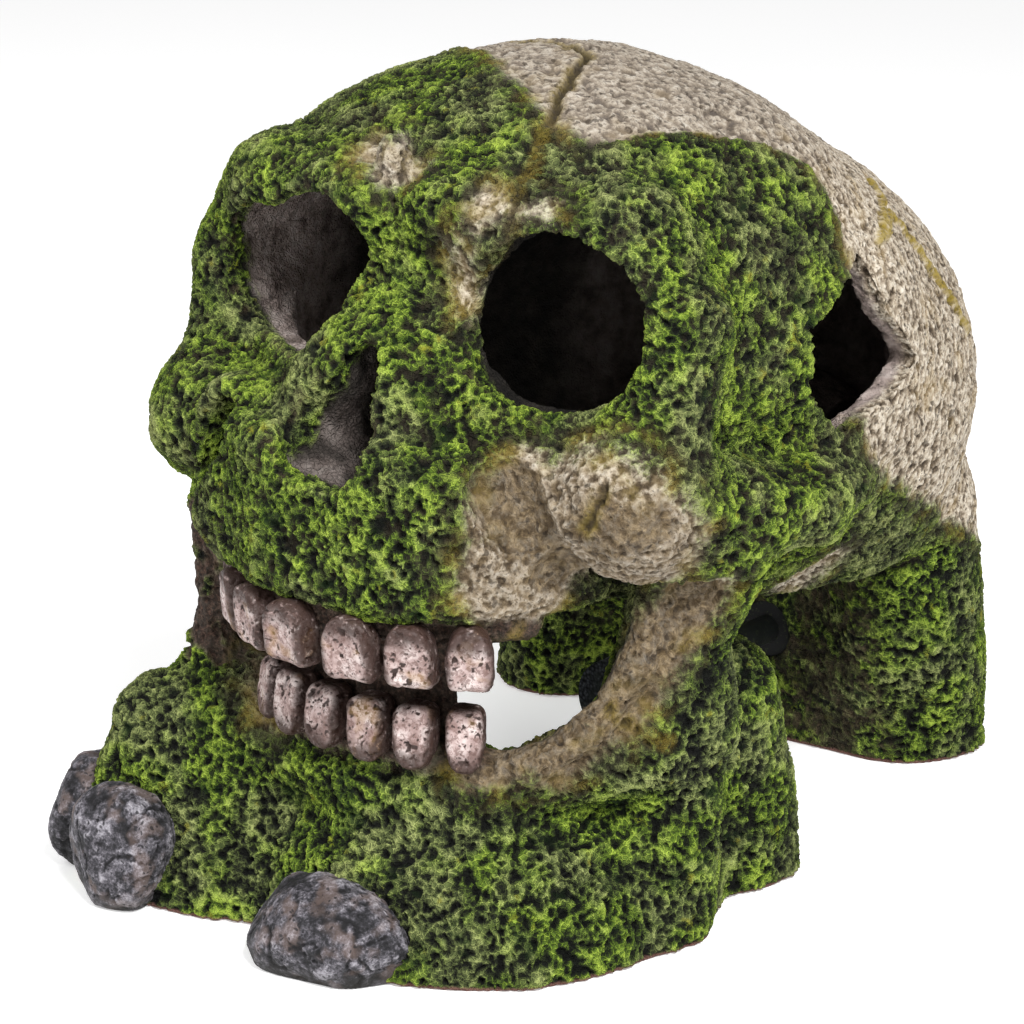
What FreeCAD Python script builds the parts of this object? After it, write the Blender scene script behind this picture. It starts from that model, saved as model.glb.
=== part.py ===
import FreeCAD, Part
import os
import re

# Moss-covered skull ornament that bubbles in an aquarium. Millimetres, +Z up, face towards -Y,
# the skull's own left side on +X. The floor it stands on is Z = 0.

doc = FreeCAD.newDocument("BubblingSkull")
sheet = doc.addObject("Spreadsheet::Sheet", "Dims")

DIMENSIONS = {
    # where the skull's middle plane and the cross plane through its eyes lie
    "mid_x": 4, "mid_y": -30.5,
    # braincase: a pitched round-ended drum with a swell on each side, and a wall of even thickness
    "brain_y": 40, "brain_z": 95, "brain_radius": 54, "brain_half_length": 82, "brain_pitch": 24,
    "brain_wall": 7, "swell_x": 12, "swell_y": 36, "swell_z": 98, "swell_radius": 48,
    "brain_floor_z": 52,
    # joints between the bones
    "coronal_y": 12, "temple_front_y": -14, "lambda_y": 80, "orbit_z": 118, "squamous_z": 127,
    # eye sockets
    "eye_x": 31, "eye_radius": 16, "eye_front_y": -80, "eye_back_y": 2,
    # mask: the flatter front of the head, which widens from the cheeks up to the eyes
    "mask_y": 21, "mask_low_z": 84, "mask_low_radius": 50, "mask_eye_radius": 60,
    "mask_brow_z": 138, "mask_brow_radius": 56, "mask_top_z": 158, "mask_top_radius": 28,
    # upper jaw: a tapered muzzle with the nose opening through its front
    "gum_z": 67.4, "muzzle_y": -18, "gum_radius": 39, "bridge_radius": 20, "bridge_z": 124,
    "muzzle_wall": 9, "palate_z": 76, "nose_low_radius": 9.5, "nose_low_z": 96,
    "nose_top_radius": 6, "nose_top_z": 110,
    # cheekbones and their arches
    "cheek_joint_x": 33,
    "cheek_x": 48, "cheek_y": -26, "cheek_z": 88, "cheek_radius": 15, "arch_x": 59,
    "arch_z": 83, "arch_radius": 6.5, "arch_back_y": 24,
    # temple hole, on the left side only
    "temple_y": 29, "temple_z": 108, "temple_radius": 14.5,
    # lower jaw, and the wall between the two rows of teeth
    "jaw_y": -12, "jaw_radius": 42, "jaw_wall": 11, "jaw_low_z": 26, "jaw_top_z": 36.5,
    "ramus_x": 48, "ramus_y": 0, "ramus_radius": 12, "ramus_low_z": 24, "ramus_high_z": 80,
    "mouth_wall_radius": 31.5, "mouth_wall_thickness": 4, "mouth_wall_back_y": -32,
    # teeth: half spacing, face, width and turn of each kind
    "tooth_depth": 7.2, "upper_tooth_height": 12.9, "lower_tooth_height": 12.6, "tooth_round": 2.2,
    "upper_incisor_x": 7, "upper_incisor_y": -54.2, "upper_incisor_width": 11.2,
    "upper_incisor_turn": 8, "upper_lateral_x": 17.8, "upper_lateral_y": -51.2,
    "upper_lateral_width": 10.2, "upper_lateral_turn": 22, "upper_canine_x": 26.8,
    "upper_canine_y": -46.2, "upper_canine_width": 9.4, "upper_canine_turn": 36,
    "upper_premolar_x": 33.4, "upper_premolar_y": -38, "upper_premolar_width": 8.8,
    "upper_premolar_turn": 62,
    "lower_incisor_x": 5, "lower_incisor_y": -47.2, "lower_incisor_width": 8.8,
    "lower_incisor_turn": 4, "lower_lateral_x": 14.2, "lower_lateral_y": -45.6,
    "lower_lateral_width": 8.6, "lower_lateral_turn": 15, "lower_canine_x": 22.2,
    "lower_canine_y": -41.8, "lower_canine_width": 8, "lower_canine_turn": 34,
    # front mound: lobes that taper upwards round a hollow
    "middle_lobe_x": 8, "middle_lobe_y": -21, "middle_lobe_low_radius": 39,
    "middle_lobe_high_radius": 33, "middle_lobe_height": 29,
    "right_lobe_x": -36, "right_lobe_y": -34, "right_lobe_low_radius": 28,
    "right_lobe_high_radius": 14, "right_lobe_height": 42,
    "outer_lobe_x": -51, "outer_lobe_y": -44, "outer_lobe_low_radius": 16,
    "outer_lobe_high_radius": 12, "outer_lobe_height": 38,
    "ramus_lobe_x": 36, "ramus_lobe_y": -4, "ramus_lobe_low_radius": 15,
    "ramus_lobe_high_radius": 13, "ramus_lobe_height": 44,
    "back_lobe_x": 31, "back_lobe_y": 22, "back_lobe_low_radius": 19,
    "back_lobe_high_radius": 15, "back_lobe_height": 42,
    "hollow_x": -4, "hollow_y": 16, "hollow_radius": 26, "hollow_height": 60,
    # rear mound under the back of the head
    "rear_y": 101, "rear_radius": 20, "rear_height": 60,
    "shoulder_x": 22, "shoulder_y": 106, "shoulder_low_radius": 18, "shoulder_high_radius": 16,
    "shoulder_height": 66, "wing_x": -50, "wing_y": 101, "wing_low_radius": 17,
    "wing_high_radius": 14, "wing_height": 56, "rear_hollow_y": 52, "rear_hollow_radius": 36,
    "rear_hollow_height": 46,
    # stones set in the front mound
    "outer_stone_x": -61, "outer_stone_y": -49, "outer_stone_z": 11, "outer_stone_radius": 12.5,
    "inner_stone_x": -45, "inner_stone_y": -60, "inner_stone_z": 12, "inner_stone_radius": 13,
    "front_stone_x": 5.5, "front_stone_y": -60, "front_stone_z": 7, "front_stone_radius": 13,
    "front_stone_half_gap": 5.5,
    # air line parts, on the middle plane inside the rear mound
    "air_z": 24, "tube_radius": 3, "tube_bore_radius": 2, "tube_front_y": 60, "tube_back_y": 121,
    "collar_radius": 7, "collar_length": 3, "spigot_radius": 2.25, "spigot_length": 10,
    "spigot_bore_radius": 1.4, "grommet_radius": 6, "grommet_length": 4, "grommet_y": 88,
    "nipple_engagement": 8, "nipple_radius": 1.7, "moving_gap": 0.3, "nipple_flange_radius": 5,
    "nipple_flange_length": 2, "stone_radius": 8, "stone_length": 26,
}

for row, (alias, value) in enumerate(DIMENSIONS.items(), start=1):
    sheet.set(f"A{row}", alias)
    sheet.set(f"B{row}", str(value))
    sheet.setAlias(f"B{row}", alias)
doc.recompute()

X_AXIS = FreeCAD.Vector(1, 0, 0)
Y_AXIS = FreeCAD.Vector(0, 1, 0)
Z_AXIS = FreeCAD.Vector(0, 0, 1)
SIDES = {"left": 1, "right": -1}
BIG = 400


def dims(expression):
    """Writes a formula of bare dimension names as one that reads the sheet."""
    return re.sub(r"[a-z]\w*", lambda word: f"Dims.{word[0]}" if word[0] in DIMENSIONS else word[0],
                  expression)


def bind(item, **formulas):
    for prop, formula in formulas.items():
        item.setExpression(prop, dims(formula))


def place(item, x, y, z, axis=Z_AXIS, turn=None):
    """Puts an item at x, y from the skull's reference planes and z above the floor."""
    if turn is not None:
        item.Placement = FreeCAD.Placement(FreeCAD.Vector(), FreeCAD.Rotation(axis, 1))
        item.setExpression("Placement.Rotation.Angle", dims(turn))
    item.setExpression("Placement.Base.x", dims(f"mid_x + ( {x} )"))
    item.setExpression("Placement.Base.y", dims(f"mid_y + ( {y} )"))
    item.setExpression("Placement.Base.z", dims(z))
    return item


def ball(name, radius, x, y, z):
    item = doc.addObject("Part::Sphere", name)
    bind(item, Radius=radius)
    return place(item, x, y, z)


def drum(name, radius, length, x, y, z, axis=Z_AXIS, turn=None):
    """A cylinder from the given point, up along Z or along Z turned about an axis."""
    item = doc.addObject("Part::Cylinder", name)
    bind(item, Radius=radius, Height=length)
    return place(item, x, y, z, axis, turn)


def rod(name, radius, length, x, y, z):
    """A cylinder from the given point towards +Y."""
    return drum(name, radius, length, x, y, z, X_AXIS, "-90")


def taper(name, low_radius, high_radius, height, x, y, z):
    item = doc.addObject("Part::Cone", name)
    bind(item, Radius1=low_radius, Radius2=high_radius, Height=height)
    return place(item, x, y, z)


def block(name, size, x, y, z):
    """A box given by its size and its lowest corner."""
    item = doc.addObject("Part::Box", name)
    bind(item, Length=size[0], Width=size[1], Height=size[2])
    return place(item, x, y, z)


def slab(name, y_low, y_high, z_low, z_high):
    """A box across the whole width between two Y planes and two heights."""
    return block(name, (f"{BIG}", f"{y_high} - ( {y_low} )", f"{z_high} - ( {z_low} )"),
                 f"-{BIG} / 2", y_low, z_low)


def fuse(name, *items):
    item = doc.addObject("Part::MultiFuse", name)
    item.Shapes = list(items)
    return item


def common(name, *items):
    item = doc.addObject("Part::MultiCommon", name)
    item.Shapes = list(items)
    return item


def cut(name, base, *tools):
    """Takes each tool in turn from the base."""
    for tool in tools:
        item = doc.addObject("Part::Cut", f"{name}_{tool.Name}")
        item.Base = base
        item.Tool = tool
        base = item
    return item


nodes = []


def node(item, label):
    item.Label = label
    nodes.append(item)
    return item


# Shared shapes -----------------------------------------------------------------------------

def brain_form(name, inset):
    """The braincase as one solid, smaller all round by the inset."""
    radius = f"brain_radius - {inset}"
    reach = "( brain_half_length - brain_radius )"
    rise = f"{reach} * sin(brain_pitch * 1 deg)"
    run = f"{reach} * cos(brain_pitch * 1 deg)"
    pieces = [
        ball(f"{name}_front", radius, "0", f"brain_y - {run}", f"brain_z + {rise}"),
        ball(f"{name}_back", radius, "0", f"brain_y + {run}", f"brain_z - {rise}"),
        drum(f"{name}_middle", radius, f"2 * {reach}", "0", f"brain_y - {run}", f"brain_z + {rise}",
             X_AXIS, "-90 - brain_pitch")]
    for side, sign in SIDES.items():
        pieces.append(ball(f"{name}_{side}_swell", f"swell_radius - {inset}", f"{sign} * swell_x",
                           "swell_y", "swell_z"))
    return pieces


def head_form(name, inset):
    """Braincase and mask together, smaller all round by the inset."""
    pieces = brain_form(name, inset)
    rings = [("mask_low_z", "mask_low_radius"), ("orbit_z", "mask_eye_radius"),
             ("mask_brow_z", "mask_brow_radius"), (f"mask_top_z - {inset}", "mask_top_radius")]
    for number, (low, high) in enumerate(zip(rings, rings[1:])):
        pieces.append(taper(f"{name}_mask_{number}", f"{low[1]} - {inset}", f"{high[1]} - {inset}",
                            f"{high[0]} - {low[0]}", "0", "mask_y", low[0]))
    return fuse(name, *pieces)


head_outer = head_form("head_outer", "0")
head_inner = head_form("head_inner", "brain_wall")
head_shell = cut("head_shell", head_outer, head_inner)
eye_sockets = {
    side: rod(f"{side}_eye_socket", "eye_radius", "eye_back_y - eye_front_y", f"{sign} * eye_x",
              "eye_front_y", "orbit_z")
    for side, sign in SIDES.items()}
halves = {
    "left": block("left_half", (f"{BIG}", f"{BIG}", f"{BIG}"), "0", f"-{BIG} / 2", "0"),
    "right": block("right_half", (f"{BIG}", f"{BIG}", f"{BIG}"), f"-{BIG}", f"-{BIG} / 2", "0")}
above_ground = slab("above_ground", f"-{BIG} / 2", f"{BIG} / 2", "0", f"{BIG}")

# Braincase bones ---------------------------------------------------------------------------

front_zone = slab("front_zone", f"-{BIG} / 2", "coronal_y", "orbit_z", f"{BIG}")
crown_zone = slab("crown_zone", "coronal_y", f"{BIG} / 2", "squamous_z", f"{BIG}")
temple_zone = slab("temple_zone", "temple_front_y", "lambda_y", "brain_floor_z", "squamous_z")
back_zone = slab("back_zone", "lambda_y", f"{BIG} / 2", "brain_floor_z", "squamous_z")
face_zone = slab("face_zone", f"-{BIG} / 2", "temple_front_y", "brain_floor_z", "orbit_z")

node(cut("frontal_cut", common("forehead", head_shell, front_zone), *eye_sockets.values()),
     "frontal_bone")

temple_hole = drum("temple_hole", "temple_radius", f"{BIG}", "0", "temple_y", "temple_z", Y_AXIS, "90")
for side, half in halves.items():
    node(common(f"{side}_parietal", head_shell, crown_zone, half), f"{side}_parietal_bone")
    temple = common(f"{side}_temple", head_shell, temple_zone, half)
    tools = [front_zone, eye_sockets[side]] + ([temple_hole] if side == "left" else [])
    node(cut(f"{side}_temple_cut", temple, *tools), f"{side}_temporal_bone")
node(common("occipital", head_shell, back_zone), "occipital_bone")

# Face: upper jaw and cheekbones ------------------------------------------------------------

muzzle_form = taper("muzzle_form", "gum_radius", "bridge_radius", "bridge_z - gum_z", "0", "muzzle_y",
                    "gum_z")
palate_hollow = taper("palate_hollow", "gum_radius - muzzle_wall", "bridge_radius - muzzle_wall",
                      "bridge_z - palate_z", "0", "muzzle_y", "palate_z")
nose_low = rod("nose_low", "nose_low_radius", f"{BIG}", "0", f"-{BIG} / 2", "nose_low_z")
nose_top = rod("nose_top", "nose_top_radius", f"{BIG}", "0", f"-{BIG} / 2", "nose_top_z")
nose_sides = block("nose_sides", ("2 * nose_top_radius", f"{BIG}", "nose_top_z - nose_low_z"),
                   "-nose_top_radius", f"-{BIG} / 2", "nose_low_z")
nose_zone = block("nose_zone", ("2 * cheek_joint_x", f"{BIG}", f"{BIG}"), "-cheek_joint_x",
                  f"-{BIG} / 2", "0")
face_wall = common("face_wall", head_shell, face_zone)
nose_wall = common("nose_wall", face_wall, nose_zone)
muzzle = cut("muzzle", common("muzzle_front", muzzle_form, face_zone), head_outer)
node(cut("upper_jaw_cut", fuse("upper_jaw_body", nose_wall, muzzle), palate_hollow, nose_low,
         nose_top, nose_sides, *eye_sockets.values()), "upper_jaw")

rami = {
    side: drum(f"{side}_ramus_form", "ramus_radius", "ramus_high_z - ramus_low_z",
               f"{sign} * ramus_x", "ramus_y", "ramus_low_z")
    for side, sign in SIDES.items()}
for side, sign in SIDES.items():
    cheek = ball(f"{side}_cheek", "cheek_radius", f"{sign} * cheek_x", "cheek_y", "cheek_z")
    arch = rod(f"{side}_arch", "arch_radius", "arch_back_y - cheek_y", f"{sign} * arch_x", "cheek_y",
               "arch_z")
    arch_end = ball(f"{side}_arch_end", "arch_radius", f"{sign} * arch_x", "arch_back_y", "arch_z")
    swelling = cut(f"{side}_swelling", fuse(f"{side}_cheek_and_arch", cheek, arch, arch_end),
                   *head_outer.Shapes, muzzle_form)
    outer_wall = common(f"{side}_outer_wall", cut(f"{side}_wall", face_wall, nose_zone), halves[side])
    body = fuse(f"{side}_cheek_body", swelling, outer_wall)
    node(cut(f"{side}_cheek_cut", body, muzzle_form, eye_sockets[side], rami[side]),
         f"{side}_cheekbone")

# Lower jaw ---------------------------------------------------------------------------------

jaw_outer = drum("jaw_outer", "jaw_radius", "jaw_top_z - jaw_low_z", "0", "jaw_y", "jaw_low_z")
jaw_inner = drum("jaw_inner", "jaw_radius - jaw_wall", "jaw_top_z - jaw_low_z", "0", "jaw_y",
                 "jaw_low_z")
behind_jaw = slab("behind_jaw", "ramus_y", f"{BIG} / 2", "jaw_low_z", "jaw_top_z")
jaw_arc = cut("jaw_arc", jaw_outer, jaw_inner, behind_jaw)
wall_height = "gum_z - jaw_low_z"
wall_outer = drum("wall_outer", "mouth_wall_radius", wall_height, "0", "jaw_y", "jaw_low_z")
wall_inner = drum("wall_inner", "mouth_wall_radius - mouth_wall_thickness", wall_height, "0", "jaw_y",
                  "jaw_low_z")
behind_wall = slab("behind_wall", "mouth_wall_back_y", f"{BIG} / 2", "jaw_low_z", "gum_z")
mouth_wall = cut("mouth_wall", wall_outer, wall_inner, behind_wall)
jaw_form = fuse("jaw_form", jaw_arc, mouth_wall, *rami.values())
node(cut("jaw_body", jaw_form, head_outer, muzzle_form), "lower_jaw")


# Teeth -------------------------------------------------------------------------------------

def tooth(row, kind, side, height, z_low):
    """A tooth is a block with every edge rounded, turned to face outwards on its arch."""
    stem = f"{row}_{kind}"
    sign = SIDES[side]
    crown = doc.addObject("Part::Box", f"{side}_{stem}_block")
    bind(crown, Length=f"{stem}_width", Width="tooth_depth", Height=height)
    turn = f"{sign} * {stem}_turn"
    cosine = f"cos({turn} * 1 deg)"
    sine = f"sin({turn} * 1 deg)"
    place(crown,
          f"{sign} * {stem}_x - {stem}_width / 2 * {cosine} + tooth_depth / 2 * {sine}",
          f"{stem}_y - {stem}_width / 2 * {sine} - tooth_depth / 2 * {cosine}",
          z_low, Z_AXIS, turn)
    doc.recompute()
    rounded = doc.addObject("Part::Fillet", f"{side}_{stem}_rounded")
    rounded.Base = crown
    radius = DIMENSIONS["tooth_round"]
    rounded.Edges = [(edge + 1, radius, radius) for edge in range(len(crown.Shape.Edges))]
    node(rounded, f"{side}_{stem}_tooth")


PAIRED_TEETH = [(kind, side) for kind in ("incisor", "lateral", "canine") for side in SIDES]
for kind, side in PAIRED_TEETH + [("premolar", "right")]:
    tooth("upper", kind, side, "upper_tooth_height", "gum_z - upper_tooth_height")
for kind, side in PAIRED_TEETH:
    tooth("lower", kind, side, "lower_tooth_height", "jaw_top_z")

# Mossy base --------------------------------------------------------------------------------

def lobe(place_name, stem, sign=1):
    """A tapered pillar of the mound whose sizes start with the given stem."""
    return taper(f"{place_name}_lobe", f"{stem}_low_radius", f"{stem}_high_radius",
                 f"{stem}_height", f"{sign} * {stem}_x", f"{stem}_y", "0")


mound_lobes = [lobe(name, f"{name}_lobe") for name in ("middle", "right", "outer", "back")]
mound_lobes += [lobe(f"{side}_ramus", "ramus_lobe", sign) for side, sign in SIDES.items()]
hollow = drum("hollow", "hollow_radius", "hollow_height", "hollow_x", "hollow_y", "0")
jaw_room = drum("jaw_room", "jaw_radius", "gum_z - jaw_low_z", "0", "jaw_y", "jaw_low_z")
node(cut("mound_cut", fuse("mound_lobes", *mound_lobes), hollow, jaw_room, *rami.values()),
     "front_mound")

rear_lobes = [drum("rear_middle", "rear_radius", "rear_height", "0", "rear_y", "0")]
rear_lobes += [lobe(f"{side}_shoulder", "shoulder", sign) for side, sign in SIDES.items()]
rear_lobes.append(lobe("wing", "wing"))
rear_hollow = drum("rear_hollow", "rear_hollow_radius", "rear_hollow_height", "0", "rear_hollow_y",
                   "0")
tube_hole = rod("tube_hole", "tube_radius", f"{BIG}", "0", "tube_front_y", "air_z")
grommet_seat = rod("grommet_seat", "grommet_radius", "grommet_length", "0", "grommet_y", "air_z")
node(cut("rear_cut", fuse("rear_lobes", *rear_lobes), rear_hollow, head_outer, tube_hole,
         grommet_seat), "rear_mound")

# Stones ------------------------------------------------------------------------------------

stone_forms = {
    name: ball(f"{name}_stone_form", f"{name}_stone_radius", f"{name}_stone_x", f"{name}_stone_y",
               f"{name}_stone_z")
    for name in ("outer", "inner")}
front_pair = [
    ball(f"front_stone_{side}_end", "front_stone_radius",
         f"front_stone_x + {sign} * front_stone_half_gap", "front_stone_y", "front_stone_z")
    for side, sign in SIDES.items()]
front_middle = drum("front_stone_middle", "front_stone_radius", "2 * front_stone_half_gap",
                    "front_stone_x - front_stone_half_gap", "front_stone_y", "front_stone_z", Y_AXIS,
                    "90")
stone_forms["front"] = fuse("front_stone_form", *front_pair, front_middle)
for name, form in stone_forms.items():
    standing = common(f"{name}_stone_standing", form, above_ground)
    neighbours = mound_lobes + ([stone_forms["inner"]] if name == "outer" else [])
    node(cut(f"{name}_stone_cut", standing, *neighbours), f"{name}_stone")

# Air line ----------------------------------------------------------------------------------

tube_length = "tube_back_y - tube_front_y"
tube_body = rod("tube_body", "tube_radius", tube_length, "0", "tube_front_y", "air_z")
tube_bore = rod("tube_bore", "tube_bore_radius", tube_length, "0", "tube_front_y", "air_z")
node(cut("tube_cut", tube_body, tube_bore), "air_tube")

grommet_body = rod("grommet_body", "grommet_radius", "grommet_length", "0", "grommet_y", "air_z")
grommet_bore = rod("grommet_bore", "tube_radius", "grommet_length", "0", "grommet_y", "air_z")
node(cut("grommet_cut", grommet_body, grommet_bore), "tube_grommet")

collar = rod("collar", "collar_radius", "collar_length", "0", "tube_back_y", "air_z")
spigot = rod("spigot", "spigot_radius", "spigot_length", "0", "tube_back_y + collar_length", "air_z")
spigot_bore = rod("spigot_bore", "spigot_bore_radius", "collar_length + spigot_length", "0",
                  "tube_back_y", "air_z")
node(cut("inlet_cut", fuse("inlet_body", collar, spigot), spigot_bore), "air_inlet_spigot")

flange_y = "tube_front_y - nipple_flange_length"
shank = rod("nipple_shank", "nipple_radius", "nipple_engagement + nipple_flange_length", "0",
            flange_y, "air_z")
flange = rod("nipple_flange", "nipple_flange_radius", "nipple_flange_length - moving_gap", "0",
             flange_y, "air_z")
node(fuse("nipple_body", shank, flange), "air_stone_nipple")
node(rod("air_stone_body", "stone_radius", "stone_length", "0", f"{flange_y} - stone_length", "air_z"),
     "air_stone")

# Check and write ---------------------------------------------------------------------------

doc.recompute()
faults = [item.Name for item in doc.Objects if {"Invalid", "Error"} & set(item.State)]
if faults:
    raise SystemExit(f"these objects failed: {faults}")
for item in nodes:
    if item.Shape.isNull() or not item.Shape.isValid() or not item.Shape.Solids:
        raise SystemExit(f"{item.Label} has no valid solid")

os.makedirs("parts", exist_ok=True)
whole = FreeCAD.BoundBox()
for item in nodes:
    item.Shape.exportStep(f"parts/{item.Label}.step")
    box = item.Shape.optimalBoundingBox(False)
    whole.add(box)
    print(f"{item.Label:30s} solids {len(item.Shape.Solids)} volume {item.Shape.Volume:10.1f} "
          f"x {box.XMin:7.2f} {box.XMax:7.2f} y {box.YMin:7.2f} {box.YMax:7.2f} "
          f"z {box.ZMin:7.2f} {box.ZMax:7.2f}")
print(f"whole x {whole.XMin:.3f} {whole.XMax:.3f} y {whole.YMin:.3f} {whole.YMax:.3f} "
      f"z {whole.ZMin:.3f} {whole.ZMax:.3f}")
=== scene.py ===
import math

import bpy
import numpy as np
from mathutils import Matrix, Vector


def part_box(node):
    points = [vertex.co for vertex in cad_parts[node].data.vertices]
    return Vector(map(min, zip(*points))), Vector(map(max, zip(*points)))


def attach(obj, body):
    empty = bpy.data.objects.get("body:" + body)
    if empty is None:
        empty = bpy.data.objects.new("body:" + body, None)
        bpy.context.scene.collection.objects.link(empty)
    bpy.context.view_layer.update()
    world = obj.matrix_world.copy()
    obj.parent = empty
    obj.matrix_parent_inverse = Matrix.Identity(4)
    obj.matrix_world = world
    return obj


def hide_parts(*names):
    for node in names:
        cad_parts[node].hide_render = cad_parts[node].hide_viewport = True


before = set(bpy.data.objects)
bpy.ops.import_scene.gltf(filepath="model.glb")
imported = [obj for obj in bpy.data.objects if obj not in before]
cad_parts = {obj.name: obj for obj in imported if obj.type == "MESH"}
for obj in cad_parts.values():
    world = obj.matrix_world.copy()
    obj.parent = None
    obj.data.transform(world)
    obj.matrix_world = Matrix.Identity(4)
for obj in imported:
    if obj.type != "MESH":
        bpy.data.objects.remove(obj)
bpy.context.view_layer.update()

import openvdb
from mathutils import Vector

# Moss-covered skull ornament. The frame is in metres; the sculpting below is in millimetres in the
# skull's own frame: x from its middle plane, y from a cross plane ahead of the coronal joint (the
# face looks along -y) and z from the floor. Its origin and the bones' joints come from CAD nodes.

MM = 0.001
BODY = "ornament"


def corners(name):
    """Lowest and highest corner of a CAD node in the frame's millimetres."""
    low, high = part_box(name)
    return np.array(low) / MM, np.array(high) / MM


crown_low, crown_high = corners("left_parietal_bone")
temporal_low, temporal_high = corners("left_temporal_bone")
CORONAL_Y = 12.0
ORIGIN = np.array([crown_low[0], crown_low[1] - CORONAL_Y, 0.0])
SQUAMOUS_Z = crown_low[2]
EYE_Z = corners("frontal_bone")[0][2]
BRAIN_FLOOR_Z = temporal_low[2]
TEMPLE_FRONT_Y = temporal_low[1] - ORIGIN[1]
LAMBDA_Y = temporal_high[1] - ORIGIN[1]
CHEEK_JOINT_X = 33.0
JAW_CENTRE = (0.0, -12.0)

# Distance fields ----------
# Each takes points (N, 3) in millimetres and gives a signed distance, negative inside.


def ellipsoid(p, centre, radii):
    q = p - np.asarray(centre, np.float32)
    r = np.asarray(radii, np.float32)
    k0 = np.linalg.norm(q / r, axis=-1)
    k1 = np.linalg.norm(q / (r * r), axis=-1) + 1e-9
    return k0 * (k0 - 1.0) / k1


def capsule(p, start, end, radius, end_radius=None):
    """A round bar between two points, tapering when it has an end radius."""
    end_radius = radius if end_radius is None else end_radius
    a = np.asarray(start, np.float32)
    ab = np.asarray(end, np.float32) - a
    t = np.clip(((p - a) @ ab) / float(ab @ ab), 0, 1)
    return np.linalg.norm(p - a - t[..., None] * ab, axis=-1) - (radius + (end_radius - radius) * t)


def chain(p, stations, soft=3.0):
    """Round bars through stations of (x, y, z, radius)."""
    d = None
    for a, b in zip(stations, stations[1:]):
        bar = capsule(p, a[:3], b[:3], a[3], b[3])
        d = bar if d is None else union(d, bar, soft)
    return d


def rounded_box(p, centre, half, corner, edge):
    """A box with its own radius for the upright corners and for the top and bottom edges."""
    q = np.abs(p - np.asarray(centre, np.float32))
    flat = q[..., :2] - (np.asarray(half[:2], np.float32) - corner)
    side = np.linalg.norm(np.maximum(flat, 0), axis=-1) + np.minimum(flat.max(-1), 0) - corner
    w = np.stack([side, q[..., 2] - half[2]], -1) + edge
    return np.linalg.norm(np.maximum(w, 0), axis=-1) + np.minimum(w.max(-1), 0) - edge


def union(a, b, soft):
    h = np.clip(0.5 + 0.5 * (b - a) / soft, 0, 1)
    return b + (a - b) * h - soft * h * (1 - h)


def carve(a, b, soft):
    """a with b taken out."""
    return -union(-a, b, soft)


def distance_to_axis(p, x, y):
    """Distance to the upright line through x, y."""
    return np.linalg.norm(p[..., :2] - np.float32([x, y]), axis=-1)


def mirrored(p):
    q = p.copy()
    q[..., 0] = np.abs(q[..., 0])
    return q


# Noise ----------


HASH_BITS = 10
HASH_TOP = 2 ** HASH_BITS - 1
LATTICE_SHIFT = 1000.0      # keeps the cells' numbers positive
CELL_CORNERS = [(k & 1, k >> 1 & 1, k >> 2 & 1) for k in range(8)]


def lattice_hash(ix, iy, iz, seed):
    n = (ix.astype(np.uint32) * np.uint32(0x8DA6B343)
         ^ iy.astype(np.uint32) * np.uint32(0xD8163841)
         ^ iz.astype(np.uint32) * np.uint32(0xCB1AB31F)
         ^ np.uint32(seed * 0x9E37 + 77))
    n ^= n >> np.uint32(15)
    n *= np.uint32(0x2C1B3C6D)
    n ^= n >> np.uint32(12)
    n *= np.uint32(0x297A2D39)
    return n ^ (n >> np.uint32(15))


def hash_parts(h):
    """Three whole numbers, 0 to HASH_TOP, out of each hash."""
    return [h >> np.uint32(HASH_BITS * k) & np.uint32(HASH_TOP) for k in range(3)]


def weigh(value, f, corner):
    """The value times its share at one corner of a cell, for points at the fractions f in it."""
    for k, far_side in enumerate(corner):
        value = value * (f[:, k] if far_side else 1 - f[:, k])
    return value


def perlin(p, size, seed):
    """Gradient noise, about -1 to 1, with the given cell size in millimetres."""
    q = p / size + LATTICE_SHIFT
    base = np.floor(q).astype(np.int64)
    f = (q - base).astype(np.float32)
    w = f * f * f * (f * (f * 6 - 15) + 10)
    total = np.zeros(len(p), np.float32)
    for corner in CELL_CORNERS:
        dx, dy, dz = corner
        h = lattice_hash(base[:, 0] + dx, base[:, 1] + dy, base[:, 2] + dz, seed)
        gx, gy, gz = (part.astype(np.float32) / (HASH_TOP / 2) - 1 for part in hash_parts(h))
        dot = gx * (f[:, 0] - dx) + gy * (f[:, 1] - dy) + gz * (f[:, 2] - dz)
        total += weigh(dot, w, corner)
    return total * 1.5


def warped(p, size, amount, seed):
    """Points shifted by a smooth noise, so that a pattern on them wriggles."""
    return p + amount * np.stack([perlin(p, size, seed + k) for k in range(3)], -1)


def step(x, low, high):
    """0 below low, 1 above high, smooth between."""
    t = np.clip((x - low) / (high - low), 0, 1)
    return t * t * (3 - 2 * t)


# The cast body ----------

# The temple hole's outline, as y and z
TEMPLE_OUTLINE = [(34, 122), (24, 117), (14.5, 112), (14, 101), (23, 91), (34, 95), (49, 100),
                  (39, 110)]
OPENING_EDGE = 1.5
TUBE_Z = float(corners("air_tube")[0][2] + corners("air_tube")[1][2]) / 2
COLLAR_Y = corners("air_inlet_spigot")[0][1] - ORIGIN[1]
GROMMET_Y = corners("tube_grommet")[0][1] - ORIGIN[1]
TUBE_SEAT_RADIUS = 6.1


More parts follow.
